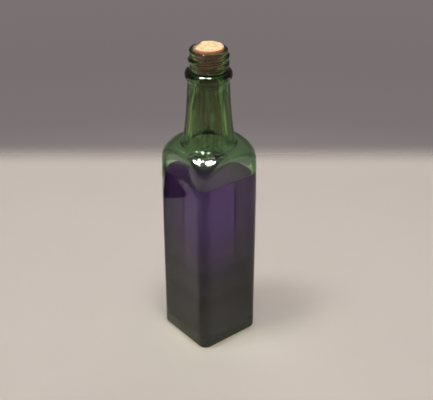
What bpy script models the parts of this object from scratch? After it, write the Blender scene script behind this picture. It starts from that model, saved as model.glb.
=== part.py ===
"""Square glass polish bottle with a tapered cork stopper and its liquid.

Frame: metres, +Z up, origin at the centre of the base, flat sides square to X and Y.
Every object is one closed body. Touching bodies keep a gap of 0.3 mm.
"""
import math

import bmesh
import bpy

# ---------------------------------------------------------------- dimensions
# glass, outside
SIDE = 0.0469            # width of the square body over its flat sides
CORNER_R = 0.0062        # radius of the four upright corners
HEEL_R = 0.0030          # rounding where the sides meet the base
DOME_Z0 = 0.1235         # height where the turned shoulder starts to close in
DOME_R = 0.0313          # its radius there
DOME_IN = 0.01875        # how far it comes in to its crown
DOME_RISE = 0.0200       # how far it rises to its crown
DOME_POWER = 2.66        # squareness of the shoulder's curve (2 is an ellipse)
COVE_R = 0.0184          # radius where the hollow curve to the neck starts
NECK_FOOT_R = 0.0159     # neck radius at the upper end of that curve
NECK_FOOT_Z = 0.1493
NECK_TOP_R = 0.0130      # neck radius under the collar
COLLAR_R = 0.01475       # ring below the thread
COLLAR_Z = 0.1884
COLLAR_H = 0.0064
FINISH_R = 0.01175       # root of the thread
LIP_Z = 0.2047           # top of the glass
LIP_ROUND = 0.0011
THREAD_R = 0.01290       # crest of the thread
THREAD_PITCH = 0.0049
THREAD_TURNS = 1.47
THREAD_START_Z = 0.1939
THREAD_START_DEG = -149.0
PUNT_R = 0.0150          # hollow pushed up under the base
PUNT_H = 0.0042

# glass, inside
WALL = 0.0014            # glass on the flat sides
INNER_CORNER_R = 0.0056
BASE_T = 0.0050          # glass under the liquid, at the rim of the floor
INNER_HEEL_R = 0.0050
KICK_R = 0.0125          # bump in the inner floor, over the punt
KICK_H = 0.0042
DOME_WALL = 0.0025       # glass where the shoulder starts, measured across
DOME_DROP = 0.0028       # glass on top of the shoulder, measured down
BORE_R = 0.00955         # bore at the lip, which narrows like the cork
BORE_MID_R = 0.00680     # narrowest bore of the thick-walled neck
BORE_MID_Z = 0.1790      # height of it
BORE_WIDE_Z = 0.1670     # below this height the bore widens like the outside
NECK_WALL = 0.0050       # glass of the neck there
BORE_FOOT_R = NECK_FOOT_R - NECK_WALL

# contents and stopper
LIQUID_LEVEL = 0.1215
GAP = 0.0003             # clearance between touching bodies
CORK_TOP_R = 0.00920
CORK_LOW_R = 0.00640
CORK_TOP_Z = 0.2060
CORK_LOW_Z = 0.1800
CORK_EDGE = 0.0005
CHIP_DEPTH = 0.0017      # piece broken out of the cork's top rim
CHIP_REACH = 0.0066      # distance of that break from the cork's axis
CHIP_DEG = 121.0

STEPS = 56               # facets round a turned shape


# ---------------------------------------------------------------- helpers
for old in list(bpy.data.objects):
    bpy.data.objects.remove(old, do_unlink=True)

scene = bpy.context.scene
parts = bpy.data.collections.new("polish_bottle")
cutters = bpy.data.collections.new("cutters")
scene.collection.children.link(parts)
scene.collection.children.link(cutters)


def put(obj, collection):
    for c in list(obj.users_collection):
        c.objects.unlink(obj)
    collection.objects.link(obj)
    return obj


def as_cutter(obj):
    put(obj, cutters)
    obj.hide_render = True
    obj.display_type = "WIRE"
    return obj


def turned(name, profile, steps=STEPS):
    """A body turned about Z from a profile that runs top to bottom at +X."""
    mesh = bpy.data.meshes.new(name)
    bm = bmesh.new()
    verts = [bm.verts.new((r, 0.0, z)) for r, z in profile]
    for a, b in zip(verts, verts[1:]):
        bm.edges.new((a, b))
    bm.to_mesh(mesh)
    bm.free()
    obj = bpy.data.objects.new(name, mesh)
    scene.collection.objects.link(obj)
    m = obj.modifiers.new("turn", "SCREW")
    m.axis = "Z"
    m.steps = steps
    m.render_steps = steps
    m.use_merge_vertices = True
    m.merge_threshold = 0.00001
    return obj


def square_prism(name, side, z0, z1, corner_r, foot_r, corner_seg, foot_seg):
    """A box with rounded upright corners and a rounded lower rim."""
    mesh = bpy.data.meshes.new(name)
    bm = bmesh.new()
    bmesh.ops.create_cube(bm, size=1.0)
    for v in bm.verts:
        v.co.x *= side
        v.co.y *= side
        v.co.z = z0 if v.co.z < 0 else z1
    upright = [e for e in bm.edges
               if abs(e.verts[0].co.z - e.verts[1].co.z) > 1e-6]
    bmesh.ops.bevel(bm, geom=upright, offset=corner_r, offset_type="OFFSET",
                    segments=corner_seg, profile=0.5, affect="EDGES",
                    clamp_overlap=False)
    bm.normal_update()
    low = [e for e in bm.edges
           if max(e.verts[0].co.z, e.verts[1].co.z) < z0 + 1e-6
           and any(abs(f.normal.z) < 0.5 for f in e.link_faces)]
    bmesh.ops.bevel(bm, geom=low, offset=foot_r, offset_type="OFFSET",
                    segments=foot_seg, profile=0.5, affect="EDGES",
                    clamp_overlap=False)
    bmesh.ops.recalc_face_normals(bm, faces=bm.faces)
    bm.to_mesh(mesh)
    bm.free()
    obj = bpy.data.objects.new(name, mesh)
    scene.collection.objects.link(obj)
    return obj


def boolean(obj, tool, operation):
    m = obj.modifiers.new(operation.lower(), "BOOLEAN")
    m.operation = operation
    m.object = tool
    m.solver = "EXACT"


def material(obj, name, colour, roughness, transmission=0.0, ior=1.45):
    mat = bpy.data.materials.new(name)
    mat.use_nodes = True
    bsdf = mat.node_tree.nodes["Principled BSDF"]
    bsdf.inputs["Base Color"].default_value = (*colour, 1.0)
    bsdf.inputs["Roughness"].default_value = roughness
    bsdf.inputs["Metallic"].default_value = 0.0
    bsdf.inputs["Transmission Weight"].default_value = transmission
    bsdf.inputs["IOR"].default_value = ior
    mat.diffuse_color = (*colour, 1.0)
    obj.data.materials.clear()
    obj.data.materials.append(mat)


def smooth(obj, angle=35.0):
    obj.data.shade_smooth()
    obj.data.set_sharp_from_angle(angle=math.radians(angle))


# ---------------------------------------------------------------- profiles
def dome(r_body, r_in, z0, rise, r_from, n=9):
    """The shoulder's curve from radius r_from down and out to the body."""
    p = DOME_POWER
    crown = r_body - r_in
    x_from = (r_from - crown) / r_in
    t_from = math.acos(x_from ** (p / 2.0))
    pts = []
    for i in range(n + 1):
        t = t_from * (1.0 - i / n)
        pts.append((crown + r_in * math.cos(t) ** (2.0 / p),
                    z0 + rise * math.sin(t) ** (2.0 / p)))
    return pts


def bend(p0, p1, p2, n):
    """A smooth curve from p0 to p2 that leans on the corner point p1."""
    pts = []
    for i in range(n + 1):
        f = i / n
        pts.append(tuple((1 - f) ** 2 * a + 2 * f * (1 - f) * b + f * f * c
                         for a, b, c in zip(p0, p1, p2)))
    return pts


def outer_profile():
    top = [(0.0, LIP_Z), (FINISH_R - LIP_ROUND, LIP_Z)]
    for i in range(1, 5):
        a = math.radians(90.0 - 22.5 * i)
        top.append((FINISH_R - LIP_ROUND + LIP_ROUND * math.cos(a),
                    LIP_Z - LIP_ROUND + LIP_ROUND * math.sin(a)))
    ring = []
    for i in range(9):
        a = math.radians(90.0 - 22.5 * i)
        foot = FINISH_R if i < 4 else NECK_TOP_R
        ring.append((foot + (COLLAR_R - foot) * max(math.cos(a), 0.0),
                     COLLAR_Z + 0.5 * COLLAR_H * math.sin(a)))
    neck = []
    z_top = COLLAR_Z - 0.5 * COLLAR_H - 0.0008
    for i in range(6):
        f = i / 5
        # the neck widens slowly at first and faster towards its foot
        neck.append((NECK_TOP_R + (NECK_FOOT_R - NECK_TOP_R) * (0.7 * f + 0.3 * f ** 4),
                     z_top + (NECK_FOOT_Z - z_top) * f))
    curve = dome(DOME_R, DOME_IN, DOME_Z0, DOME_RISE, COVE_R)
    cove = bend(neck[-1], (NECK_FOOT_R + 0.0007, curve[0][1] + 0.0009), curve[0], 5)
    return top + ring + neck + cove[1:-1] + curve + [(DOME_R, -0.001), (0.0, -0.001)]


def inner_profile():
    pts = [(0.0, LIP_Z + 0.010), (BORE_R, LIP_Z + 0.010), (BORE_R, LIP_Z),
           (BORE_MID_R, BORE_MID_Z)]
    z_top = COLLAR_Z - 0.5 * COLLAR_H - 0.0008
    for i in range(1, 9):
        z = BORE_MID_Z + (NECK_FOOT_Z - BORE_MID_Z) * i / 8
        g = (z_top - z) / (z_top - NECK_FOOT_Z)
        wide = NECK_TOP_R + (NECK_FOOT_R - NECK_TOP_R) * (0.7 * g + 0.3 * g ** 4) - NECK_WALL
        f = min(1.0, (BORE_MID_Z - z) / (BORE_MID_Z - BORE_WIDE_Z))
        pts.append((BORE_MID_R + (wide - BORE_MID_R) * f * f * (3.0 - 2.0 * f), z))
    curve = dome(DOME_R - DOME_WALL, DOME_IN - DOME_WALL, DOME_Z0 - 0.0003,
                 DOME_RISE - DOME_DROP, 0.0155, 8)
    cove = bend(pts[-1], (BORE_FOOT_R + 0.0010, curve[0][1] + 0.0026), curve[0], 4)
    return pts + cove[1:-1] + curve + [(DOME_R - DOME_WALL, -0.001), (0.0, -0.001)]


def cap_profile(radius, height, base):
    """A shallow bump that stands on the plane z = base."""
    pts = [(0.0, base + height)]
    for i in range(1, 7):
        f = i / 6
        pts.append((radius * f, base + height * 0.5 * (1.0 + math.cos(math.pi * f))))
    pts[-1] = (radius, base)
    return pts + [(radius, base - 0.004), (0.0, base - 0.004)]


# ---------------------------------------------------------------- glass
glass = put(turned("glass_bottle", outer_profile()), parts)

body_prism = as_cutter(square_prism("body_outline", SIDE, 0.0, 0.300,
                                    CORNER_R, HEEL_R, 7, 4))
boolean(glass, body_prism, "INTERSECT")


def thread_ridge():
    """The screw thread's ridge: a low rounded band that winds up the finish
    and tapers into the wall at both ends. Its foot sits inside the wall."""
    n = int(26 * THREAD_TURNS)
    half_w = 0.00125
    foot = FINISH_R - 0.0008
    rows = []
    for i in range(n + 1):
        f = i / n
        taper = math.sin(0.5 * math.pi * min(1.0, f / 0.12, (1.0 - f) / 0.12))
        crest = FINISH_R - 0.0004 + (THREAD_R - FINISH_R + 0.0004) * taper
        a = math.radians(THREAD_START_DEG + 360.0 * THREAD_TURNS * f)
        z = THREAD_START_Z + THREAD_PITCH * THREAD_TURNS * f
        w = half_w * (0.55 + 0.45 * taper)
        shape = [(0.0, -1.0), (0.62, -0.80), (1.0, -0.28),
                 (1.0, 0.28), (0.62, 0.80), (0.0, 1.0)]
        rows.append([((foot + (crest - foot) * s) * math.cos(a),
                      (foot + (crest - foot) * s) * math.sin(a), z + w * t)
                     for s, t in shape])
    mesh = bpy.data.meshes.new("thread_ridge")
    bm = bmesh.new()
    grid = [[bm.verts.new(p) for p in row] for row in rows]
    k = len(grid[0])
    for i in range(n):
        for j in range(k):
            bm.faces.new((grid[i][j], grid[i + 1][j],
                          grid[i + 1][(j + 1) % k], grid[i][(j + 1) % k]))
    bm.faces.new(grid[0])
    bm.faces.new(list(reversed(grid[-1])))
    bmesh.ops.recalc_face_normals(bm, faces=bm.faces)
    bm.to_mesh(mesh)
    bm.free()
    obj = bpy.data.objects.new("thread_ridge", mesh)
    scene.collection.objects.link(obj)
    return obj


boolean(glass, as_cutter(thread_ridge()), "UNION")

hollow = as_cutter(turned("hollow", inner_profile()))
hollow_outline = as_cutter(square_prism("hollow_outline", SIDE - 2 * WALL, BASE_T, 0.320,
                                        INNER_CORNER_R, INNER_HEEL_R, 6, 4))
kick = as_cutter(turned("kick", cap_profile(KICK_R, KICK_H, BASE_T), 40))
boolean(hollow, hollow_outline, "INTERSECT")
boolean(hollow, kick, "DIFFERENCE")
boolean(glass, hollow, "DIFFERENCE")

punt = as_cutter(turned("punt", cap_profile(PUNT_R, PUNT_H, 0.0), 40))
boolean(glass, punt, "DIFFERENCE")

smooth(glass)
material(glass, "green_glass", (0.33, 0.47, 0.26), 0.04, transmission=1.0, ior=1.52)

# ---------------------------------------------------------------- liquid
liquid = put(square_prism("liquid_polish", SIDE - 2 * (WALL + GAP), BASE_T + GAP,
                          LIQUID_LEVEL, INNER_CORNER_R - GAP, INNER_HEEL_R - GAP,
                          6, 4), parts)
liquid_kick = as_cutter(turned("liquid_kick",
                               cap_profile(KICK_R + GAP, KICK_H, BASE_T + GAP), 40))
boolean(liquid, liquid_kick, "DIFFERENCE")
smooth(liquid)
material(liquid, "purple_polish", (0.10, 0.06, 0.12), 0.08, transmission=0.6, ior=1.36)

# ---------------------------------------------------------------- cork
cork_profile = [(0.0, CORK_TOP_Z), (CORK_TOP_R - CORK_EDGE, CORK_TOP_Z)]
for i in range(5):
    f = i / 4
    cork_profile.append((CORK_TOP_R + (CORK_LOW_R - CORK_TOP_R) * f,
                         CORK_TOP_Z - CORK_EDGE
                         + (CORK_LOW_Z - CORK_TOP_Z + 2 * CORK_EDGE) * f))
cork_profile += [(CORK_LOW_R - CORK_EDGE, CORK_LOW_Z), (0.0, CORK_LOW_Z)]
cork = put(turned("cork_stopper", cork_profile, 48), parts)

# a piece has broken out of the top rim: cut with a tilted, rounded block
chip_mesh = bpy.data.meshes.new("chip")
bm = bmesh.new()
bmesh.ops.create_cube(bm, size=1.0)
bmesh.ops.scale(bm, vec=(0.0070, 0.0160, 0.0050), verts=bm.verts)
bmesh.ops.bevel(bm, geom=list(bm.edges), offset=0.0010, offset_type="OFFSET",
                segments=2, profile=0.5, affect="EDGES", clamp_overlap=True)
bm.to_mesh(chip_mesh)
bm.free()
chip = bpy.data.objects.new("chip", chip_mesh)
scene.collection.objects.link(chip)
as_cutter(chip)
chip_a = math.radians(CHIP_DEG)
chip.location = ((CHIP_REACH + 0.0035) * math.cos(chip_a),
                 (CHIP_REACH + 0.0035) * math.sin(chip_a),
                 CORK_TOP_Z - CHIP_DEPTH + 0.0025)
chip.rotation_euler = (math.radians(4.0), math.radians(5.0), chip_a)
boolean(cork, chip, "DIFFERENCE")
smooth(cork)
material(cork, "cork", (0.78, 0.60, 0.38), 0.85)
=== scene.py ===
import math

import bmesh
import bpy
import numpy as np
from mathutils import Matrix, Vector


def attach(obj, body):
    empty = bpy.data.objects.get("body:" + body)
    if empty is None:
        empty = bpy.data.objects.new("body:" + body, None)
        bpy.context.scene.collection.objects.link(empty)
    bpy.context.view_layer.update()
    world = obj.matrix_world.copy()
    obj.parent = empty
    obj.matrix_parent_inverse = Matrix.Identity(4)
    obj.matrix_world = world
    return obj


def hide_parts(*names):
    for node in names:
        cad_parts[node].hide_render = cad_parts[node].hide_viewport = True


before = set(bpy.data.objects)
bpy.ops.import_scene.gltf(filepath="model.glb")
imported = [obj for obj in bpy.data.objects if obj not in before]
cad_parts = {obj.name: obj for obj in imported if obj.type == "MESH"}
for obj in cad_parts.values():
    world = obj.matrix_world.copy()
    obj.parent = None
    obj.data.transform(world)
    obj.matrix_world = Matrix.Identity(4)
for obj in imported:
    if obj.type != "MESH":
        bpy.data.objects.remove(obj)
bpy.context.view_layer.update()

# =====================================================================
# Dimensions, millimetres, the same as the construction's
# =====================================================================
SIDE, CORNER_R, HEEL_R = 46.9, 6.2, 3.0
DOME_Z0, DOME_R, DOME_IN, DOME_RISE, DOME_P = 123.5, 31.3, 18.75, 20.0, 2.66
COVE_R = 18.4
NECK_FOOT_R, NECK_FOOT_Z, NECK_TOP_R = 15.9, 149.3, 13.0
COLLAR_R, COLLAR_Z, COLLAR_H = 14.75, 188.4, 6.4
FINISH_R, LIP_Z, LIP_ROUND = 11.75, 204.7, 1.1
THREAD_R, THREAD_PITCH, THREAD_TURNS = 12.90, 4.9, 1.47
THREAD_Z, THREAD_DEG = 193.9, -149.0
PUNT_R, PUNT_H = 15.0, 4.2
WALL, INNER_CORNER_R, BASE_T, INNER_HEEL_R = 1.4, 5.6, 5.0, 5.0
KICK_R, KICK_H = 12.5, 4.2
DOME_WALL, DOME_DROP = 2.5, 2.8
BORE_R, BORE_MID_R, BORE_MID_Z = 9.55, 6.80, 179.0
NECK_WALL, BORE_WIDE_Z, BORE_FOOT_R = 5.0, 167.0, 10.9
LIQUID_LEVEL = 121.5
CORK_TOP_R, CORK_LOW_R, CORK_TOP_Z, CORK_LOW_Z = 9.20, 6.40, 206.0, 180.0
CHIP_DEG = 121.0

NQ = 80                  # vertices round a quarter turn
K_OUT, K_IN = 1.9, 4.0   # how softly the square body meets the turned shoulder
RIPPLE, CRINKLE_DEG = 0.38, -135.0   # height and middle of the crinkles on the shoulder
SAG = 0.5                # how far the flat sides have sunk at their middle
MM = 0.001


# =====================================================================
# Geometry helpers
# =====================================================================
def square_rho(theta, side, rc):
    """Distance from the axis to a rounded square's outline, at each angle."""
    half = side / 2.0
    h = half - rc
    t = np.abs((theta + math.pi / 4) % (math.pi / 2) - math.pi / 4)
    flat = half / np.cos(t)
    b = h * (np.cos(t) + np.sin(t))
    c = 2.0 * h * h - rc * rc
    round_ = b + np.sqrt(np.maximum(b * b - c, 0.0))
    return np.where(t < math.atan2(h, half), flat, round_)


def angles():
    """Angles round the axis, closer together on the four corners."""
    half = SIDE / 2.0
    h = half - CORNER_R
    t = np.linspace(0.0, math.pi / 2, 4001)
    rho = square_rho(t, SIDE, CORNER_R)
    x, y = rho * np.cos(t), rho * np.sin(t)
    psi = np.clip(np.arctan2(y - h, x - h), 0.0, math.pi / 2)
    psi = np.where(y <= h, 0.0, np.where(x <= h, math.pi / 2, psi))
    m = 0.5 * t / (math.pi / 2) + 0.5 * psi / (math.pi / 2)
    q = np.interp(np.arange(NQ) / NQ, m, t)
    return np.concatenate([q + k * math.pi / 2 for k in range(4)])


THETA = angles()
NT = len(THETA)
COS, SIN = np.cos(THETA), np.sin(THETA)


def smin(a, b, k):
    """The smaller of two numbers, with the corner between them rounded."""
    h = np.maximum(k - np.abs(a - b), 0.0) / k
    return np.minimum(a, b) - h * h * k * 0.25


def ripple(x, y, z, wave, seed, n=7):
    """A smooth, repeatable unevenness of wavelength about `wave`, from -1 to 1."""
    rng = np.random.default_rng(seed)
    out = np.zeros(np.broadcast(x, y, z).shape)
    for _ in range(n):
        v = rng.normal(size=3)
        v *= 2.0 * math.pi / (wave * rng.uniform(0.75, 1.4)) / np.linalg.norm(v)
        out = out + np.sin(v[0] * x + v[1] * y + v[2] * z + rng.uniform(0, 2 * math.pi))
    return out / n * 1.6


def ring(radius, z):
    """One ring of points, in millimetres; radius and z may vary round it."""
    r = np.broadcast_to(np.asarray(radius, float), (NT,))
    zz = np.broadcast_to(np.asarray(z, float), (NT,))
    return np.stack([r * COS, r * SIN, zz], 1)


def skin(name, rings, start=None, end=None, wet=None):
    """A closed mesh through a list of rings, with a point at each end.
    wet holds one number for each band of faces and becomes an attribute."""
    pts = []
    if start is not None:
        pts.append(np.array([start], float))
    base = 1 if start is not None else 0
    n = len(rings)
    pts.extend(rings)
    if end is not None:
        pts.append(np.array([end], float))
    v = np.concatenate(pts) * MM
    idx = base + np.arange(n * NT).reshape(n, NT)
    nxt = np.roll(idx, -1, axis=1)
    faces = []
    marks = []
    if start is not None:
        faces += [(0, int(nxt[0, j]), int(idx[0, j])) for j in range(NT)]
        marks += [0.0] * NT
    quads = np.stack([idx[:-1], nxt[:-1], nxt[1:], idx[1:]], -1).reshape(-1, 4)
    faces += [tuple(q) for q in quads.tolist()]
    band = wet if wet is not None else [0.0] * (n - 1)
    for w in band:
        marks += [w] * NT
    if end is not None:
        last = len(v) - 1
        faces += [(int(idx[-1, j]), int(nxt[-1, j]), last) for j in range(NT)]
        marks += [0.0] * NT
    mesh = bpy.data.meshes.new(name)
    mesh.from_pydata(v.tolist(), [], faces)
    a = mesh.attributes.new("wet", "FLOAT", "FACE")
    a.data.foreach_set("value", np.array(marks, np.float32))
    bm = bmesh.new()
    bm.from_mesh(mesh)
    if bm.calc_volume(signed=True) < 0:
        bmesh.ops.reverse_faces(bm, faces=bm.faces[:])
    bm.to_mesh(mesh)
    bm.free()
    mesh.validate()
    mesh.shade_smooth()
    obj = bpy.data.objects.new(name, mesh)
    bpy.context.scene.collection.objects.link(obj)
    return obj


def bend(p0, p1, p2, n):
    f = np.linspace(0.0, 1.0, n + 1)[:, None]
    return (1 - f) ** 2 * np.array(p0) + 2 * f * (1 - f) * np.array(p1) + f * f * np.array(p2)


def dome(r_body, r_in, z0, rise, r_from, n):
    """Shoulder curve from the body up to radius r_from, evenly spaced."""
    crown = r_body - r_in
    t_end = math.acos(((r_from - crown) / r_in) ** (DOME_P / 2.0))
    t = np.linspace(0.0, t_end, 1200)
    r = crown + r_in * np.cos(t) ** (2.0 / DOME_P)
    z = z0 + rise * np.sin(t) ** (2.0 / DOME_P)
    s = np.concatenate([[0.0], np.cumsum(np.hypot(np.diff(r), np.diff(z)))])
    q = np.linspace(0.0, s[-1], n + 1)
    return np.stack([np.interp(q, s, r), np.interp(q, s, z)], 1)


def polyline(points, step):
    """Points along a polyline at about `step`, its corners kept."""
    out = [points[0]]
    for a, b in zip(points, points[1:]):
        n = max(1, int(round(math.hypot(b[0] - a[0], b[1] - a[1]) / step)))
        for i in range(1, n + 1):
            out.append((a[0] + (b[0] - a[0]) * i / n, a[1] + (b[1] - a[1]) * i / n))
    return out


# =====================================================================
# The glass
# =====================================================================
OUTER = square_rho(THETA, SIDE, CORNER_R)
INNER = square_rho(THETA, SIDE - 2 * WALL, INNER_CORNER_R)
CORNERNESS = (OUTER - SIDE / 2) / (OUTER.max() - SIDE / 2)   # 0 mid-face, 1 corner


FACE_T = np.abs((THETA + math.pi / 4) % (math.pi / 2) - math.pi / 4)
FACE_U = np.minimum(SIDE / 2 * np.tan(FACE_T) / (SIDE / 2 - CORNER_R), 1.0)


def sag(z):
    """The sides of a blown bottle sink a little between base and shoulder."""
    f = min(max((z - 5.0) / 14.0, 0.0), 1.0) * min(max((129.0 - z) / 13.0, 0.0), 1.0)
    f = f * f * (3.0 - 2.0 * f)
    return SAG * f * (1.0 - FACE_U ** 2) ** 1.25 / np.cos(FACE_T)


def uneven_out(radius, z):
    """The outside of old moulded glass: nearly flat sides, a livelier shoulder.
    It only ever takes glass away, so the body stays inside its size."""
    x, y = radius * COS, radius * SIN
    slow = 0.020 + 0.030 * min(max((z - 118.0) / 12.0, 0.0), 1.0)
    return radius + slow * (ripple(x, y, z, 34.0, 3) - 1.0)


def shoulder_ripple(radius, z):
    """A crinkled patch where the shoulder meets the neck, deepest in front."""
    x, y = radius * COS, radius * SIN
    off = np.degrees((THETA - math.radians(CRINKLE_DEG) + math.pi) % (2 * math.pi) - math.pi)
    zone = np.exp(-((z - 146.4) / 5.5) ** 4) * (0.08 + 0.92 * np.exp(-(off / 32.0) ** 4))
    return RIPPLE * zone * ripple(x, y, z, 2.9, 17, 12)


def inner_shift(radius, z):
    """Blown glass is less even inside than outside."""
    x, y = radius * COS, radius * SIN
    return 0.16 * ripple(x, y, z, 26.0, 21) + 0.035 * ripple(x, y, z, 9.0, 22)


def glass_rings():
    rings, wet = [], []

    def add(r, w=0.0):
        rings.append(r)
        wet.append(w)

    # underside: hollow, flat band, heel
    for f in np.linspace(0.08, 1.0, 14):
        add(ring(PUNT_R * f, PUNT_H * 0.5 * (1 + math.cos(math.pi * f))))
    foot = square_rho(THETA, SIDE - 2 * HEEL_R, CORNER_R - HEEL_R)
    for f in (0.25, 0.5, 0.75, 1.0):
        add(ring(PUNT_R + (foot - PUNT_R) * f, 0.0))
    for i in range(1, 11):
        a = math.radians(9.0 * i)
        d = HEEL_R * (1 - math.sin(a))
        add(ring(square_rho(THETA, SIDE - 2 * d, CORNER_R - d), HEEL_R * (1 - math.cos(a))))
    # sides
    for z in np.arange(5.0, 100.0, 3.0):
        add(ring(uneven_out(OUTER - sag(z), z), z))
    for z in np.linspace(101.5, DOME_Z0, 18)[:-1]:
        grow = DOME_R + 0.06 * (DOME_Z0 - z)
        add(ring(uneven_out(smin(OUTER, grow, K_OUT) - sag(z), z), z))
    # shoulder
    curve = dome(DOME_R, DOME_IN, DOME_Z0, DOME_RISE, COVE_R, 120)
    slope = np.gradient(curve, axis=0)
    slope /= np.hypot(slope[:, 0], slope[:, 1])[:, None]
    for (r, z), (tr, tz) in zip(curve, slope):
        rr = smin(OUTER, r, K_OUT)
        d = shoulder_ripple(rr, z)
        add(ring(uneven_out(rr - sag(z), z) + tz * d, z - tr * d))
    cove = bend(tuple(curve[-1]), (NECK_FOOT_R + 0.7, curve[-1][1] + 0.9),
                (NECK_FOOT_R, NECK_FOOT_Z), 18)
    slope = np.gradient(cove, axis=0)
    slope /= np.hypot(slope[:, 0], slope[:, 1])[:, None]
    for i, (r, z) in enumerate(cove[1:]):
        keep = 1.0 - (i + 1) / 18.0
        d = min(1.0, 3.5 * keep) * shoulder_ripple(np.full(NT, r), z)
        add(ring(r + keep * (uneven_out(np.full(NT, r), z) - r) + slope[i + 1, 1] * d,
                 z - slope[i + 1, 0] * d))
    # neck
    z_top = COLLAR_Z - 0.5 * COLLAR_H - 0.8
    for f in np.linspace(0.0, 1.0, 24)[1:]:
        z = NECK_FOOT_Z + (z_top - NECK_FOOT_Z) * f
        g = 1.0 - f
        r = NECK_TOP_R + (NECK_FOOT_R - NECK_TOP_R) * (0.7 * g + 0.3 * g ** 4)
        x, y = r * COS, r * SIN
        add(ring(r + 0.05 * (ripple(x, y, z * 0.25, 11.0, 31) - 1.0) * min(1.0, 6 * f * g), z))
    # ring under the thread
    for a in np.linspace(-90.0, 90.0, 25):
        c, s = math.cos(math.radians(a)), math.sin(math.radians(a))
        root = NECK_TOP_R if a <= 0 else FINISH_R
        power = 0.9
        r = root + (COLLAR_R - root) * max(c, 0.0) ** power
        blend = 0.35 * math.exp(-((abs(a) - 90.0) / 12.0) ** 2)
        add(ring(r + blend * 0.6, COLLAR_Z + 0.5 * COLLAR_H * s))
    # finish with its thread
    deg = np.degrees(THETA)
    z_lo = COLLAR_Z + 0.5 * COLLAR_H
    for z in np.linspace(z_lo, LIP_Z - LIP_ROUND, 46)[1:]:
        bump = np.zeros(NT)
        for k in range(-2, 4):
            turn = (deg - THREAD_DEG + 360.0 * k) / 360.0
            ok = (turn >= 0) & (turn <= THREAD_TURNS)
            tf = np.clip(turn / THREAD_TURNS, 0.0, 1.0)
            taper = np.clip(np.minimum(tf / 0.14, (1 - tf) / 0.12), 0.0, 1.0)
            taper = taper * taper * (3 - 2 * taper)
            d = np.abs(z - (THREAD_Z + THREAD_PITCH * turn)) / (1.30 * (0.6 + 0.4 * taper))
            shape = np.exp(-(d ** 2.8) * 0.9)
            bump = np.maximum(bump, np.where(ok, (THREAD_R - FINISH_R) * taper * shape, 0.0))
        x, y = FINISH_R * COS, FINISH_R * SIN
        r = FINISH_R - 0.22 + bump * 1.06 + 0.03 * ripple(x, y, z, 6.0, 41)
        edge = np.clip((LIP_Z - LIP_ROUND - z) / 1.2, 0.0, 1.0)
        add(ring(FINISH_R + (np.minimum(r, THREAD_R) - FINISH_R) * edge, z))
    for a in np.linspace(0.0, 90.0, 9)[1:]:
        add(ring(FINISH_R - LIP_ROUND * (1 - math.cos(math.radians(a))),
                 LIP_Z - LIP_ROUND * (1 - math.sin(math.radians(a)))))
    # over the lip and into the bore
    for a in np.linspace(90.0, 180.0, 5)[:-1]:
        add(ring(BORE_R + 0.55 + 0.55 * math.cos(math.radians(a)),
                 LIP_Z - 0.45 + 0.45 * math.sin(math.radians(a))))
    def bore(z):
        if z > BORE_MID_Z:
            return BORE_MID_R + (BORE_R - BORE_MID_R) * (z - BORE_MID_Z) / (LIP_Z - BORE_MID_Z)
        g = (z_top - z) / (z_top - NECK_FOOT_Z)
        wide = NECK_TOP_R + (NECK_FOOT_R - NECK_TOP_R) * (0.7 * g + 0.3 * g ** 4) - NECK_WALL
        f = min(1.0, (BORE_MID_Z - z) / (BORE_MID_Z - BORE_WIDE_Z))
        return BORE_MID_R + (wide - BORE_MID_R) * f * f * (3.0 - 2.0 * f)

    for z in np.linspace(LIP_Z - 0.6, BORE_MID_Z, 20):
        add(ring(bore(z), z))
    for z in np.linspace(BORE_MID_Z, NECK_FOOT_Z, 44)[1:]:
        r = bore(z)
        x, y = r * COS, r * SIN
        g = min(1.0, (BORE_MID_Z - z) / 6.0)
        add(ring(r + 0.14 * g * ripple(x, y, z * 0.12, 7.0, 51), z))
    curve_in = dome(DOME_R - DOME_WALL, DOME_IN - DOME_WALL, DOME_Z0 - 0.3,
                    DOME_RISE - DOME_DROP, 15.5, 44)
    last = rings[-1]
    last_r = np.hypot(last[:, 0], last[:, 1])
    cove = bend((BORE_FOOT_R, NECK_FOOT_Z), (BORE_FOOT_R + 1.0, curve_in[-1][1] + 2.6),
                tuple(curve_in[-1]), 16)
    for i, (r, z) in enumerate(cove[1:-1]):
        add(ring(r + (last_r - BORE_FOOT_R) * (1.0 - (i + 1) / 16.0) ** 2, z))
    for i, (r, z) in enumerate(curve_in[::-1]):
        rr = smin(INNER, r, K_IN) - sag(z)
        keep = min(1.0, i / 10.0)
        add(ring(rr + keep * inner_shift(rr, z) * np.clip((z - 123.0) / 6.0, 0, 1), z))
    return rings, wet, curve_in


def liquid_wall(z):
    """Radius of the inner wall from the floor's rounding up to the shoulder."""
    return smin(INNER, DOME_R - DOME_WALL + 0.16 * max(0.0, DOME_Z0 - z), K_IN) - sag(z)


def floor_ring(f):
    """Inner floor from its centre (0) to the start of its rounded rim (1)."""
    rim = square_rho(THETA, SIDE - 2 * WALL - 2 * INNER_HEEL_R, INNER_CORNER_R - INNER_HEEL_R)
    if f <= 0.6:
        r = KICK_R * f / 0.6
        g = f / 0.6
        return ring(r, BASE_T + KICK_H * 0.5 * (1 + math.cos(math.pi * g)))
    g = (f - 0.6) / 0.4
    return ring(KICK_R + (rim - KICK_R) * g, BASE_T)


def heel_in(i, n=9):
    a = math.radians(90.0 * i / n)
    d = INNER_HEEL_R * (1 - math.sin(a))
    return ring(square_rho(THETA, SIDE - 2 * WALL - 2 * d, INNER_CORNER_R - d),
                BASE_T + INNER_HEEL_R * (1 - math.cos(a)))


MENISCUS_Z = 1.1
WET_TOP = LIQUID_LEVEL + MENISCUS_Z

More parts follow.
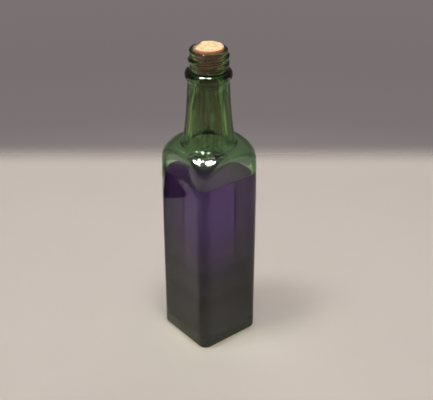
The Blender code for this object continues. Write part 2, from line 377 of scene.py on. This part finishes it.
rings, wet, curve_in = glass_rings()
wall_z = list(np.linspace(DOME_Z0 - 0.6, WET_TOP, 2)[:-1]) + [WET_TOP]
for z in wall_z:
    rings.append(ring(liquid_wall(z), z))
    wet.append(0.0)
for z in np.arange(WET_TOP - 1.2, BASE_T + INNER_HEEL_R + 1.0, -3.0):
    rings.append(ring(liquid_wall(z), z))
    wet.append(1.0)
for i in range(9, 0, -1):
    rings.append(heel_in(i))
    wet.append(1.0)
for f in np.linspace(1.0, 0.06, 16):
    rings.append(floor_ring(f))
    wet.append(1.0)
# wet[i] marks the band that ends on ring i
glass = skin("bottle_glass", rings, start=(0, 0, PUNT_H), end=(0, 0, BASE_T + KICK_H),
             wet=wet[1:])
mesh = glass.data
vals = np.zeros(len(mesh.polygons), np.float32)
mesh.attributes["wet"].data.foreach_get("value", vals)
vals[-NT:] = 1.0
mesh.attributes["wet"].data.foreach_set("value", vals)

# =====================================================================
# The liquid: fits the inner wall, with a raised edge where it wets the glass
# =====================================================================
SKIN_GAP = 0.03
lrings, top = [], []
for f in np.linspace(0.06, 1.0, 16):
    r = floor_ring(f)
    r[:, 2] += SKIN_GAP
    lrings.append(r)
    top.append(0.0)
for i in range(1, 10):
    r = heel_in(i)
    r[:, :2] *= 1.0 - SKIN_GAP / 22.0
    r[:, 2] += SKIN_GAP
    lrings.append(r)
    top.append(0.0)
for z in np.arange(WET_TOP - 1.2, BASE_T + INNER_HEEL_R + 1.0, -3.0)[::-1]:
    lrings.append(ring(liquid_wall(z) - SKIN_GAP, z))
    top.append(0.0)
lrings.append(ring(liquid_wall(WET_TOP) - SKIN_GAP, WET_TOP - 0.02))
top.append(0.0)
for d in (0.10, 0.25, 0.45, 0.7, 1.0, 1.4, 1.9, 2.6, 3.6, 5.0):
    lrings.append(ring(liquid_wall(LIQUID_LEVEL) - SKIN_GAP - d,
                       LIQUID_LEVEL + MENISCUS_Z * math.exp(-d / 0.75)))
    top.append(1.0)
last = liquid_wall(LIQUID_LEVEL) - SKIN_GAP - 5.0
for f in (0.8, 0.55, 0.3, 0.1):
    lrings.append(ring(last * f, LIQUID_LEVEL))
    top.append(1.0)
liquid = skin("purple_liquid", lrings, start=(0, 0, BASE_T + KICK_H + SKIN_GAP),
              end=(0, 0, LIQUID_LEVEL), wet=top[1:])
mesh = liquid.data
vals = np.zeros(len(mesh.polygons), np.float32)
mesh.attributes["wet"].data.foreach_get("value", vals)
vals[-NT:] = 1.0
mesh.attributes["wet"].data.foreach_set("value", vals)

# Old dregs cloud the lower part: closed bodies inside the liquid, each of
# which adds its own darkness below its flat top
HAZE = ((80.0, 8.0), (58.0, 26.0), (38.0, 36.0))


def haze_body(name, top_z, inset):
    hr = []
    for f in np.linspace(0.06, 1.0, 16):
        r = floor_ring(f)
        r[:, 2] += SKIN_GAP + inset
        hr.append(r)
    for i in range(1, 10):
        r = heel_in(i)
        r[:, :2] *= 1.0 - (SKIN_GAP + inset) / 22.0
        r[:, 2] += SKIN_GAP + inset
        hr.append(r)
    for z in np.arange(BASE_T + INNER_HEEL_R + 2.0, top_z, 6.0):
        hr.append(ring(liquid_wall(z) - SKIN_GAP - inset, z))
    hr.append(ring(liquid_wall(top_z) - SKIN_GAP - inset, top_z))
    for f in (0.75, 0.45, 0.15):
        hr.append(ring((liquid_wall(top_z) - SKIN_GAP - inset) * f, top_z))
    return skin(name, hr, start=(0, 0, BASE_T + KICK_H + SKIN_GAP + inset), end=(0, 0, top_z))


# =====================================================================
# The cork: tapered, dry, with a piece broken out of its rim
# =====================================================================
def chip_height(x, y):
    """Height of the cork's top over the plane, with its broken corner."""
    a = math.radians(CHIP_DEG)
    u = x * math.cos(a) + y * math.sin(a)          # outward through the break
    v = -x * math.sin(a) + y * math.cos(a)
    edge = 6.3 + 0.35 * np.sin(v * 1.1 + 0.6) + 0.18 * np.sin(v * 2.9)
    depth = 1.75 + 0.10 * v + 0.16 * ripple(x, y, 0.0 * x, 2.2, 61) + 0.12 * (u - 7.0)
    step = 1.0 / (1.0 + np.exp(-(u - edge - 0.35) / 0.22))
    return -np.maximum(depth, 0.4) * step


cork_rings = []
top_r = CORK_TOP_R - 0.35
for f in np.linspace(0.03, 1.0, 34):
    r = top_r * f
    x, y = r * COS, r * SIN
    h = chip_height(x, y) + 0.045 * (ripple(x, y, 0 * x, 1.6, 71) - 1.0)
    cork_rings.append(ring(r, np.minimum(CORK_TOP_Z + h, CORK_TOP_Z - 0.01)))
rim = cork_rings[-1][:, 2]
for a in (35.0, 65.0, 90.0):
    s, c = math.sin(math.radians(a)), math.cos(math.radians(a))
    cork_rings.append(ring(top_r + 0.35 * s, rim - 0.35 * (1 - c)))
shoulder_z = cork_rings[-1][:, 2]
for f in np.linspace(0.0, 1.0, 60)[1:]:
    z = shoulder_z + (CORK_LOW_Z + 0.4 - shoulder_z) * f
    r = CORK_TOP_R + (CORK_LOW_R - CORK_TOP_R) * f
    x, y = r * COS, r * SIN
    pit = ripple(x, y, z, 1.9, 81) * ripple(x, y, z, 4.3, 82)
    r = r - 0.16 * np.clip(pit - 0.25, 0.0, 1.0) * min(1.0, 10 * f)
    cork_rings.append(ring(r, z))
for f in (0.92, 0.6, 0.3, 0.08):
    cork_rings.append(ring(CORK_LOW_R * f, CORK_LOW_Z + (0.12 if f > 0.9 else 0.0)))
cork = skin("cork", cork_rings,
            start=(0, 0, CORK_TOP_Z + float(cork_rings[0][:, 2].mean() - CORK_TOP_Z)),
            end=(0, 0, CORK_LOW_Z))


# =====================================================================
# Materials
# =====================================================================
def new_material(name):
    m = bpy.data.materials.new(name)
    m.use_nodes = True
    nt = m.node_tree
    nt.nodes.clear()
    out = nt.nodes.new("ShaderNodeOutputMaterial")
    return m, nt, out


def link(nt, a, b):
    nt.links.new(a, b)


def let_lamps_through(nt, bsdf, out, colour=(1.0, 1.0, 1.0)):
    """The surface is clear to shadow rays, so lamps reach what lies behind it."""
    clear = nt.nodes.new("ShaderNodeBsdfTransparent")
    clear.inputs["Color"].default_value = (*colour, 1.0)
    path = nt.nodes.new("ShaderNodeLightPath")
    mix = nt.nodes.new("ShaderNodeMixShader")
    link(nt, path.outputs["Is Shadow Ray"], mix.inputs[0])
    link(nt, bsdf.outputs[0], mix.inputs[1])
    link(nt, clear.outputs[0], mix.inputs[2])
    link(nt, mix.outputs[0], out.inputs["Surface"])


def absorb(nt, out, colour, density):
    vol = nt.nodes.new("ShaderNodeVolumeAbsorption")
    vol.inputs["Color"].default_value = (*colour, 1.0)
    vol.inputs["Density"].default_value = density
    link(nt, vol.outputs[0], out.inputs["Volume"])


GLASS_IOR, LIQUID_IOR = 1.52, 1.36
# FILM is the painted colour of the liquid's opaque top
FILM, FILM_CLEAR = (0.010, 0.002, 0.020), 0.0

# green glass, with fine surface unevenness; where liquid wets it the light
# bends from glass to liquid instead of from glass to air
m_glass, nt, out = new_material("green_glass")
b = nt.nodes.new("ShaderNodeBsdfPrincipled")
b.inputs["Base Color"].default_value = (1, 1, 1, 1)
b.inputs["Roughness"].default_value = 0.0
b.inputs["Transmission Weight"].default_value = 1.0
wetn = nt.nodes.new("ShaderNodeAttribute")
wetn.attribute_name = "wet"
rng = nt.nodes.new("ShaderNodeMapRange")
rng.inputs["To Min"].default_value = GLASS_IOR
rng.inputs["To Max"].default_value = GLASS_IOR / LIQUID_IOR
link(nt, wetn.outputs["Fac"], rng.inputs["Value"])
link(nt, rng.outputs[0], b.inputs["IOR"])
co = nt.nodes.new("ShaderNodeTexCoord")           # brown streaks in the neck glass, painted in place of streaky reflections
split = nt.nodes.new("ShaderNodeSeparateXYZ")
link(nt, co.outputs["Object"], split.inputs[0])
flat = nt.nodes.new("ShaderNodeCombineXYZ")
link(nt, split.outputs["X"], flat.inputs["X"])
link(nt, split.outputs["Y"], flat.inputs["Y"])
radius = nt.nodes.new("ShaderNodeVectorMath")
radius.operation = "LENGTH"
link(nt, flat.outputs[0], radius.inputs[0])
high = nt.nodes.new("ShaderNodeMapRange")
high.inputs["From Min"].default_value = 0.1400
high.inputs["From Max"].default_value = 0.1560
link(nt, split.outputs["Z"], high.inputs["Value"])
heel = nt.nodes.new("ShaderNodeMapRange")
heel.interpolation_type = "SMOOTHSTEP"
heel.inputs["From Min"].default_value = 0.0120
heel.inputs["From Max"].default_value = 0.0065
link(nt, split.outputs["Z"], heel.inputs["Value"])
squash = nt.nodes.new("ShaderNodeMapping")
squash.inputs["Scale"].default_value = (1.0, 1.0, 0.05)
link(nt, co.outputs["Object"], squash.inputs["Vector"])
neck_streak_noise = nt.nodes.new("ShaderNodeTexNoise")
neck_streak_noise.inputs["Scale"].default_value = 520.0
neck_streak_noise.inputs["Detail"].default_value = 2.0
link(nt, squash.outputs[0], neck_streak_noise.inputs["Vector"])
film = nt.nodes.new("ShaderNodeValToRGB")
film.color_ramp.elements[0].position = 0.41
film.color_ramp.elements[0].color = (0.60, 0.36, 0.22, 1)
film.color_ramp.elements[1].position = 0.57
film.color_ramp.elements[1].color = (1.0, 0.90, 0.76, 1)
link(nt, neck_streak_noise.outputs[0], film.inputs[0])
above = nt.nodes.new("ShaderNodeMapRange")          # painted shade: a darker band just over the liquid line, fading to a faint green cast up the shoulder
above.inputs["From Min"].default_value = 0.1200
above.inputs["From Max"].default_value = 0.1500
link(nt, split.outputs["Z"], above.inputs["Value"])
shoulder_shade = nt.nodes.new("ShaderNodeValToRGB")
shoulder_shade.color_ramp.elements[0].position = 0.07
shoulder_shade.color_ramp.elements[0].color = (1, 1, 1, 1)
shoulder_shade.color_ramp.elements[1].position = 0.60
shoulder_shade.color_ramp.elements[1].color = (0.93, 1.0, 0.94, 1)
for at, c in ((0.10, (0.64, 0.70, 0.66, 1)), (0.20, (0.76, 0.90, 0.76, 1)), (0.34, (0.92, 1.0, 0.93, 1))):
    shoulder_shade.color_ramp.elements.new(at).color = c
link(nt, above.outputs[0], shoulder_shade.inputs[0])
tint = nt.nodes.new("ShaderNodeMix")
tint.data_type = "RGBA"
link(nt, shoulder_shade.outputs[0], tint.inputs[6])
link(nt, high.outputs[0], tint.inputs[0])
link(nt, film.outputs[0], tint.inputs[7])
heel_shade = nt.nodes.new("ShaderNodeMix")               # painted shade round the heel
heel_shade.data_type = "RGBA"
heel_shade.inputs[7].default_value = (0.50, 0.36, 0.42, 1)
link(nt, heel.outputs[0], heel_shade.inputs[0])
cap = nt.nodes.new("ShaderNodeMapRange")            # the threaded part is tinted browner
cap.interpolation_type = "SMOOTHSTEP"
cap.inputs["From Min"].default_value = 0.1830
cap.inputs["From Max"].default_value = 0.1890
link(nt, split.outputs["Z"], cap.inputs["Value"])
brown = nt.nodes.new("ShaderNodeMix")
brown.data_type = "RGBA"
brown.inputs[7].default_value = (0.90, 0.62, 0.52, 1)
link(nt, cap.outputs[0], brown.inputs[0])
link(nt, tint.outputs[2], brown.inputs[6])
link(nt, brown.outputs[2], heel_shade.inputs[6])
aim = nt.nodes.new("ShaderNodeVectorMath")          # three pale streaks in the bore: painted highlights in place of streaks of reflected light
aim.operation = "NORMALIZE"
link(nt, flat.outputs[0], aim.inputs[0])
pale = None
for turn, amount in ((160.0, 0.75), (-81.0, 0.34), (-67.0, 0.26), (-96.0, 0.16)):
    near = nt.nodes.new("ShaderNodeVectorMath")
    near.operation = "DOT_PRODUCT"
    near.inputs[1].default_value = (math.cos(math.radians(turn)), math.sin(math.radians(turn)), 0.0)
    link(nt, aim.outputs[0], near.inputs[0])
    part = nt.nodes.new("ShaderNodeMapRange")
    part.interpolation_type = "SMOOTHSTEP"
    part.inputs["From Min"].default_value = math.cos(math.radians(6.0))
    part.inputs["From Max"].default_value = math.cos(math.radians(2.0))
    part.inputs["To Max"].default_value = amount
    link(nt, near.outputs["Value"], part.inputs["Value"])
    if pale is None:
        pale = part.outputs[0]
    else:
        most = nt.nodes.new("ShaderNodeMath")
        most.operation = "MAXIMUM"
        link(nt, pale, most.inputs[0])
        link(nt, part.outputs[0], most.inputs[1])
        pale = most.outputs[0]
for socket, lo, hi in ((radius.outputs["Value"], 0.0122, 0.0118), (split.outputs["Z"], 0.1475, 0.1520),
                       (split.outputs["Z"], 0.1840, 0.1800)):
    part = nt.nodes.new("ShaderNodeMapRange")
    part.inputs["From Min"].default_value = lo
    part.inputs["From Max"].default_value = hi
    link(nt, socket, part.inputs["Value"])
    only = nt.nodes.new("ShaderNodeMath")
    only.operation = "MULTIPLY"
    link(nt, pale, only.inputs[0])
    link(nt, part.outputs[0], only.inputs[1])
    pale = only.outputs[0]
side = nt.nodes.new("ShaderNodeMapRange")           # pale on -X, browner on +X
side.inputs["From Min"].default_value = -0.003
side.inputs["From Max"].default_value = -0.001
link(nt, split.outputs["X"], side.inputs["Value"])
streak_colour = nt.nodes.new("ShaderNodeMix")
streak_colour.data_type = "RGBA"
streak_colour.inputs[6].default_value = (1.0, 0.44, 0.30, 1)
streak_colour.inputs[7].default_value = (1.0, 0.17, 0.10, 1)
link(nt, side.outputs[0], streak_colour.inputs[0])
painted_streaks = nt.nodes.new("ShaderNodeMix")
painted_streaks.data_type = "RGBA"
link(nt, streak_colour.outputs[2], painted_streaks.inputs[7])
link(nt, pale, painted_streaks.inputs[0])
link(nt, heel_shade.outputs[2], painted_streaks.inputs[6])
link(nt, painted_streaks.outputs[2], b.inputs["Base Color"])
through = nt.nodes.new("ShaderNodeMath")
through.operation = "SUBTRACT"
through.inputs[0].default_value = 1.0
link(nt, pale, through.inputs[1])
link(nt, through.outputs[0], b.inputs["Transmission Weight"])
let_lamps_through(nt, b, out, (0.80, 0.61, 0.78))
absorb(nt, out, (0.270, 0.690, 0.127), 220.0)

m_liq, nt, out = new_material("purple_liquid")
b = nt.nodes.new("ShaderNodeBsdfPrincipled")
b.inputs["Base Color"].default_value = (1, 1, 1, 1)
b.inputs["Roughness"].default_value = 0.0
b.inputs["Transmission Weight"].default_value = 1.0
wetn = nt.nodes.new("ShaderNodeAttribute")
wetn.attribute_name = "wet"
rng = nt.nodes.new("ShaderNodeMapRange")
rng.inputs["To Min"].default_value = 1.0
rng.inputs["To Max"].default_value = LIQUID_IOR
link(nt, wetn.outputs["Fac"], rng.inputs["Value"])
link(nt, rng.outputs[0], b.inputs["IOR"])
film = nt.nodes.new("ShaderNodeMapRange")         # opaque dark purple top: painted in place of the purple light seen down through the liquid
film.inputs["To Min"].default_value = 1.0
film.inputs["To Max"].default_value = FILM_CLEAR
link(nt, wetn.outputs["Fac"], film.inputs["Value"])
link(nt, film.outputs[0], b.inputs["Transmission Weight"])
tint = nt.nodes.new("ShaderNodeMix")
tint.data_type = "RGBA"
tint.inputs[6].default_value = (1, 1, 1, 1)
tint.inputs[7].default_value = (*FILM, 1)
link(nt, wetn.outputs["Fac"], tint.inputs[0])
link(nt, tint.outputs[2], b.inputs["Base Color"])
let_lamps_through(nt, b, out)
absorb(nt, out, (0.680, 0.290, 0.925), 80.0)
cloud = nt.nodes.new("ShaderNodeVolumeScatter")
cloud.inputs["Color"].default_value = (1, 1, 1, 1)
cloud.inputs["Density"].default_value = 16.0
cloud.inputs["Anisotropy"].default_value = 0.9
both = nt.nodes.new("ShaderNodeAddShader")
link(nt, out.inputs["Volume"].links[0].from_socket, both.inputs[0])
link(nt, cloud.outputs[0], both.inputs[1])
link(nt, both.outputs[0], out.inputs["Volume"])

# cork: pale, grainy, with dark pores
m_cork, nt, out = new_material("cork")
b = nt.nodes.new("ShaderNodeBsdfPrincipled")
co = nt.nodes.new("ShaderNodeTexCoord")
noise = nt.nodes.new("ShaderNodeTexNoise")
noise.inputs["Scale"].default_value = 420.0
noise.inputs["Detail"].default_value = 5.0
link(nt, co.outputs["Object"], noise.inputs["Vector"])
ramp = nt.nodes.new("ShaderNodeValToRGB")
ramp.color_ramp.elements[0].position = 0.28
ramp.color_ramp.elements[0].color = (0.43, 0.25, 0.095, 1)
ramp.color_ramp.elements[1].position = 0.60
ramp.color_ramp.elements[1].color = (0.66, 0.50, 0.20, 1)
link(nt, noise.outputs[0], ramp.inputs[0])
rag = nt.nodes.new("ShaderNodeTexNoise")
rag.inputs["Scale"].default_value = 640.0
rag.inputs["Detail"].default_value = 3.0
link(nt, co.outputs["Object"], rag.inputs["Vector"])
split = nt.nodes.new("ShaderNodeSeparateXYZ")
link(nt, co.outputs["Object"], split.inputs[0])
flat = nt.nodes.new("ShaderNodeCombineXYZ")
link(nt, split.outputs["X"], flat.inputs["X"])
link(nt, split.outputs["Y"], flat.inputs["Y"])
radius = nt.nodes.new("ShaderNodeVectorMath")
radius.operation = "LENGTH"
link(nt, flat.outputs[0], radius.inputs[0])


def number(op, a, b_, c=None):
    n = nt.nodes.new("ShaderNodeMath")
    n.operation = op
    for i, v in enumerate((a, b_, c)):
        if v is None:
            continue
        if isinstance(v, (int, float)):
            n.inputs[i].default_value = v
        else:
            link(nt, v, n.inputs[i])
    return n.outputs[0]


def step(value, lo, hi):
    n = nt.nodes.new("ShaderNodeMapRange")
    n.interpolation_type = "SMOOTHSTEP"
    n.inputs["From Min"].default_value = lo
    n.inputs["From Max"].default_value = hi
    link(nt, value, n.inputs["Value"])
    return n.outputs[0]


def blend(factor, low, high):
    n = nt.nodes.new("ShaderNodeMix")
    n.data_type = "RGBA"
    link(nt, factor, n.inputs[0])
    for i, v in ((6, low), (7, high)):
        if isinstance(v, tuple):
            n.inputs[i].default_value = (*v, 1.0)
        else:
            link(nt, v, n.inputs[i])
    return n.outputs[2]


jag = number("MULTIPLY_ADD", rag.outputs[0], 0.0016, -0.0008)
z_jag = number("ADD", split.outputs["Z"], number("MULTIPLY", jag, 0.8))
r_jag = number("ADD", radius.outputs["Value"], jag)
stain_and_shade = nt.nodes.new("ShaderNodeValToRGB")            # dark sides below the lip: partly a soaked stain, partly painted shade inside the neck
stain_and_shade.color_ramp.elements[0].position = 0.35
stain_and_shade.color_ramp.elements[0].color = (0.024, 0.006, 0.008, 1)
stain_and_shade.color_ramp.elements[1].position = 0.70
stain_and_shade.color_ramp.elements[1].color = (0.10, 0.026, 0.020, 1)
link(nt, rag.outputs[0], stain_and_shade.inputs[0])
broken = blend(step(z_jag, 0.20505, 0.20560), (0.72, 0.33, 0.16), ramp.outputs[0])
# orange-brown outer edge and side above the lip: partly the cork's own edge, partly painted shade
rim = blend(step(r_jag, 0.00845, 0.00900), broken, (0.66, 0.21, 0.075))
soaked_and_shaded = step(z_jag, 0.20450, 0.20370)
link(nt, blend(soaked_and_shaded, rim, stain_and_shade.outputs[0]), b.inputs["Base Color"])
b.inputs["Roughness"].default_value = 0.85
bump = nt.nodes.new("ShaderNodeBump")
bump.inputs["Strength"].default_value = 0.4
bump.inputs["Distance"].default_value = 0.0003
link(nt, noise.outputs[0], bump.inputs["Height"])
link(nt, bump.outputs[0], b.inputs["Normal"])
link(nt, b.outputs[0], out.inputs["Surface"])

for o, m in ((glass, m_glass), (liquid, m_liq), (cork, m_cork)):
    o.data.materials.append(m)

haze = []
for k, (top_z, strength) in enumerate(HAZE):
    m_haze, nt, out = new_material("dregs_%d" % (k + 1))
    b = nt.nodes.new("ShaderNodeBsdfPrincipled")
    b.inputs["Base Color"].default_value = (1, 1, 1, 1)
    b.inputs["Roughness"].default_value = 0.0
    b.inputs["IOR"].default_value = 1.0
    b.inputs["Transmission Weight"].default_value = 1.0
    let_lamps_through(nt, b, out)
    absorb(nt, out, (0.25, 0.25, 0.25), strength / 0.75)
    h = haze_body("dregs_%d" % (k + 1), top_z, 0.03 * (k + 1))
    h.data.materials.append(m_haze)
    haze.append(h)

# =====================================================================
# Floor, light and camera
# =====================================================================
YAW = math.radians(-38.86)       # the camera's heading in this frame


def seen(x, y, z):
    """A point given right, away and up from the camera's side, in this frame."""
    c, s = math.cos(YAW), math.sin(YAW)
    return Vector((c * x - s * y, s * x + c * y, z))


bpy.ops.mesh.primitive_plane_add(size=1.0)
floor = bpy.context.active_object
floor.name = "floor"
FLOOR_BACK, FLOOR_FRONT, FLOOR_SIDE = 0.280, 0.60, 0.60
corners = [seen(-FLOOR_SIDE, -FLOOR_FRONT, 0), seen(FLOOR_SIDE, -FLOOR_FRONT, 0),
           seen(-FLOOR_SIDE, FLOOR_BACK, 0), seen(FLOOR_SIDE, FLOOR_BACK, 0)]
for v, c in zip(floor.data.vertices, corners):
    v.co = (c.x, c.y, -0.0001)
m_floor, nt, out = new_material("floor")
b = nt.nodes.new("ShaderNodeBsdfPrincipled")
co = nt.nodes.new("ShaderNodeTexCoord")
noise = nt.nodes.new("ShaderNodeTexNoise")
noise.inputs["Scale"].default_value = 9.0
noise.inputs["Detail"].default_value = 4.0
link(nt, co.outputs["Object"], noise.inputs["Vector"])
ramp = nt.nodes.new("ShaderNodeValToRGB")
ramp.color_ramp.elements[0].color = (0.49, 0.443, 0.415, 1)
ramp.color_ramp.elements[1].color = (0.53, 0.480, 0.452, 1)
link(nt, noise.outputs[0], ramp.inputs[0])
link(nt, ramp.outputs[0], b.inputs["Base Color"])
b.inputs["Roughness"].default_value = 0.9
b.inputs["Specular IOR Level"].default_value = 0.15
away = nt.nodes.new("ShaderNodeVectorMath")          # the cloth fades into the backdrop
away.operation = "DOT_PRODUCT"
away.inputs[1].default_value = (-math.sin(YAW), math.cos(YAW), 0.0)
link(nt, co.outputs["Object"], away.inputs[0])
fade = nt.nodes.new("ShaderNodeMapRange")
fade.interpolation_type = "SMOOTHSTEP"
fade.inputs["From Min"].default_value = 0.233
fade.inputs["From Max"].default_value = 0.278
link(nt, away.outputs["Value"], fade.inputs["Value"])
clear = nt.nodes.new("ShaderNodeBsdfTransparent")
mix = nt.nodes.new("ShaderNodeMixShader")
link(nt, fade.outputs[0], mix.inputs[0])
link(nt, b.outputs[0], mix.inputs[1])
link(nt, clear.outputs[0], mix.inputs[2])
link(nt, mix.outputs[0], out.inputs["Surface"])
floor.data.materials.append(m_floor)

# a small dark block stands left of the picture; the left side mirrors it
bpy.ops.mesh.primitive_cube_add(size=1.0)
block = bpy.context.active_object
block.name = "dark_block"
for v in block.data.vertices:
    v.co = seen(-0.207 + 0.010 * v.co.x, 0.046 + 0.036 * v.co.y, 0.0135 + 0.027 * v.co.z)
m_block, nt, out = new_material("dark_block")
b = nt.nodes.new("ShaderNodeBsdfPrincipled")
co = nt.nodes.new("ShaderNodeTexCoord")
noise = nt.nodes.new("ShaderNodeTexNoise")
noise.inputs["Scale"].default_value = 60.0
link(nt, co.outputs["Object"], noise.inputs["Vector"])
ramp = nt.nodes.new("ShaderNodeValToRGB")
ramp.color_ramp.elements[0].color = (0.010, 0.009, 0.009, 1)
ramp.color_ramp.elements[1].color = (0.022, 0.020, 0.019, 1)
link(nt, noise.outputs[0], ramp.inputs[0])
link(nt, ramp.outputs[0], b.inputs["Base Color"])
b.inputs["Roughness"].default_value = 0.8
link(nt, b.outputs[0], out.inputs["Surface"])
block.data.materials.append(m_block)
block.visible_camera = block.visible_diffuse = block.visible_shadow = False   # only for the glass

world = bpy.data.worlds.new("studio")
bpy.context.scene.world = world
world.use_nodes = True
bg = world.node_tree.nodes["Background"]
wn = world.node_tree
wco = wn.nodes.new("ShaderNodeTexCoord")
wsep = wn.nodes.new("ShaderNodeSeparateXYZ")
link(wn, wco.outputs["Generated"], wsep.inputs[0])
wramp = wn.nodes.new("ShaderNodeValToRGB")
wmap = wn.nodes.new("ShaderNodeMapRange")
wmap.inputs["From Min"].default_value = -1.0
wmap.inputs["From Max"].default_value = 1.0
link(wn, wsep.outputs["Z"], wmap.inputs["Value"])
link(wn, wmap.outputs[0], wramp.inputs[0])
els = wramp.color_ramp.elements
els[0].position, els[0].color = 0.0, (0.27, 0.23, 0.22, 1)
els[1].position, els[1].color = 1.0, (0.62, 0.60, 0.54, 1)
for pos, c in ((0.262, (0.262, 0.229, 0.226, 1)), (0.276, (0.228, 0.200, 0.198, 1)),
               (0.286, (0.197, 0.172, 0.171, 1)), (0.315, (0.187, 0.162, 0.162, 1)),
               (0.345, (0.192, 0.167, 0.167, 1)),
               (0.50, (0.17, 0.15, 0.15, 1)), (0.62, (0.11, 0.10, 0.095, 1)),
               (0.80, (0.16, 0.15, 0.14, 1)), (0.90, (0.46, 0.44, 0.40, 1))):
    e = els.new(pos)
    e.color = c
link(wn, wramp.outputs[0], bg.inputs["Color"])
bg.inputs["Strength"].default_value = 1.0


def lamp(name, where, size, power, colour=(1, 1, 1), target=(0, 0, 0.1), size_y=None):
    d = bpy.data.lights.new(name, "AREA")
    d.energy = power
    d.color = colour
    d.size = size
    if size_y:
        d.shape = "RECTANGLE"
        d.size_y = size_y
    o = bpy.data.objects.new(name, d)
    o.location = seen(*where)
    o.rotation_euler = (Vector(target) - o.location).to_track_quat("-Z", "Y").to_euler()
    bpy.context.scene.collection.objects.link(o)
    return o


for name, where in (("ceiling_left", (-0.36, -0.16, 1.20)), ("ceiling_right", (0.07, -0.25, 1.22))):
    lamp(name, where, 0.20, 4.5, (1.0, 0.97, 0.94)).visible_glossy = False
    glare = lamp(name + "_glare", (where[0], where[1], where[2] - 0.03), 0.22, 60.0, (1.0, 0.97, 0.90))
    glare.visible_diffuse = False
    glare.visible_volume_scatter = False
soft = lamp("wide_soft", (0.65, 0.80, 1.9), 2.0, 14.5, (1.0, 0.98, 0.97))
soft.visible_glossy = False
soft.visible_transmission = False

cam_data = bpy.data.cameras.new("camera")
cam_data.sensor_width = 36.0
cam_data.lens = 77.88
cam = bpy.data.objects.new("camera", cam_data)
cam.location = seen(0.00477, -0.52798, 0.40795)
cam.rotation_euler = (math.radians(90.0 - 30.27), 0.0, YAW)
bpy.context.scene.collection.objects.link(cam)
bpy.context.scene.camera = cam

sc = bpy.context.scene
sc.view_settings.view_transform = "Standard"
sc.cycles.max_bounces = 24
sc.cycles.transmission_bounces = 24
sc.cycles.glossy_bounces = 12
sc.cycles.transparent_max_bounces = 24

# =====================================================================
# What each piece rides on and stands for
# =====================================================================
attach(glass, "bottle")
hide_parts("glass_bottle")
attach(liquid, "bottle")
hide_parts("liquid_polish")
for h in haze:
    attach(h, "bottle")
    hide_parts("liquid_polish")
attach(cork, "cork")
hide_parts("cork_stopper")
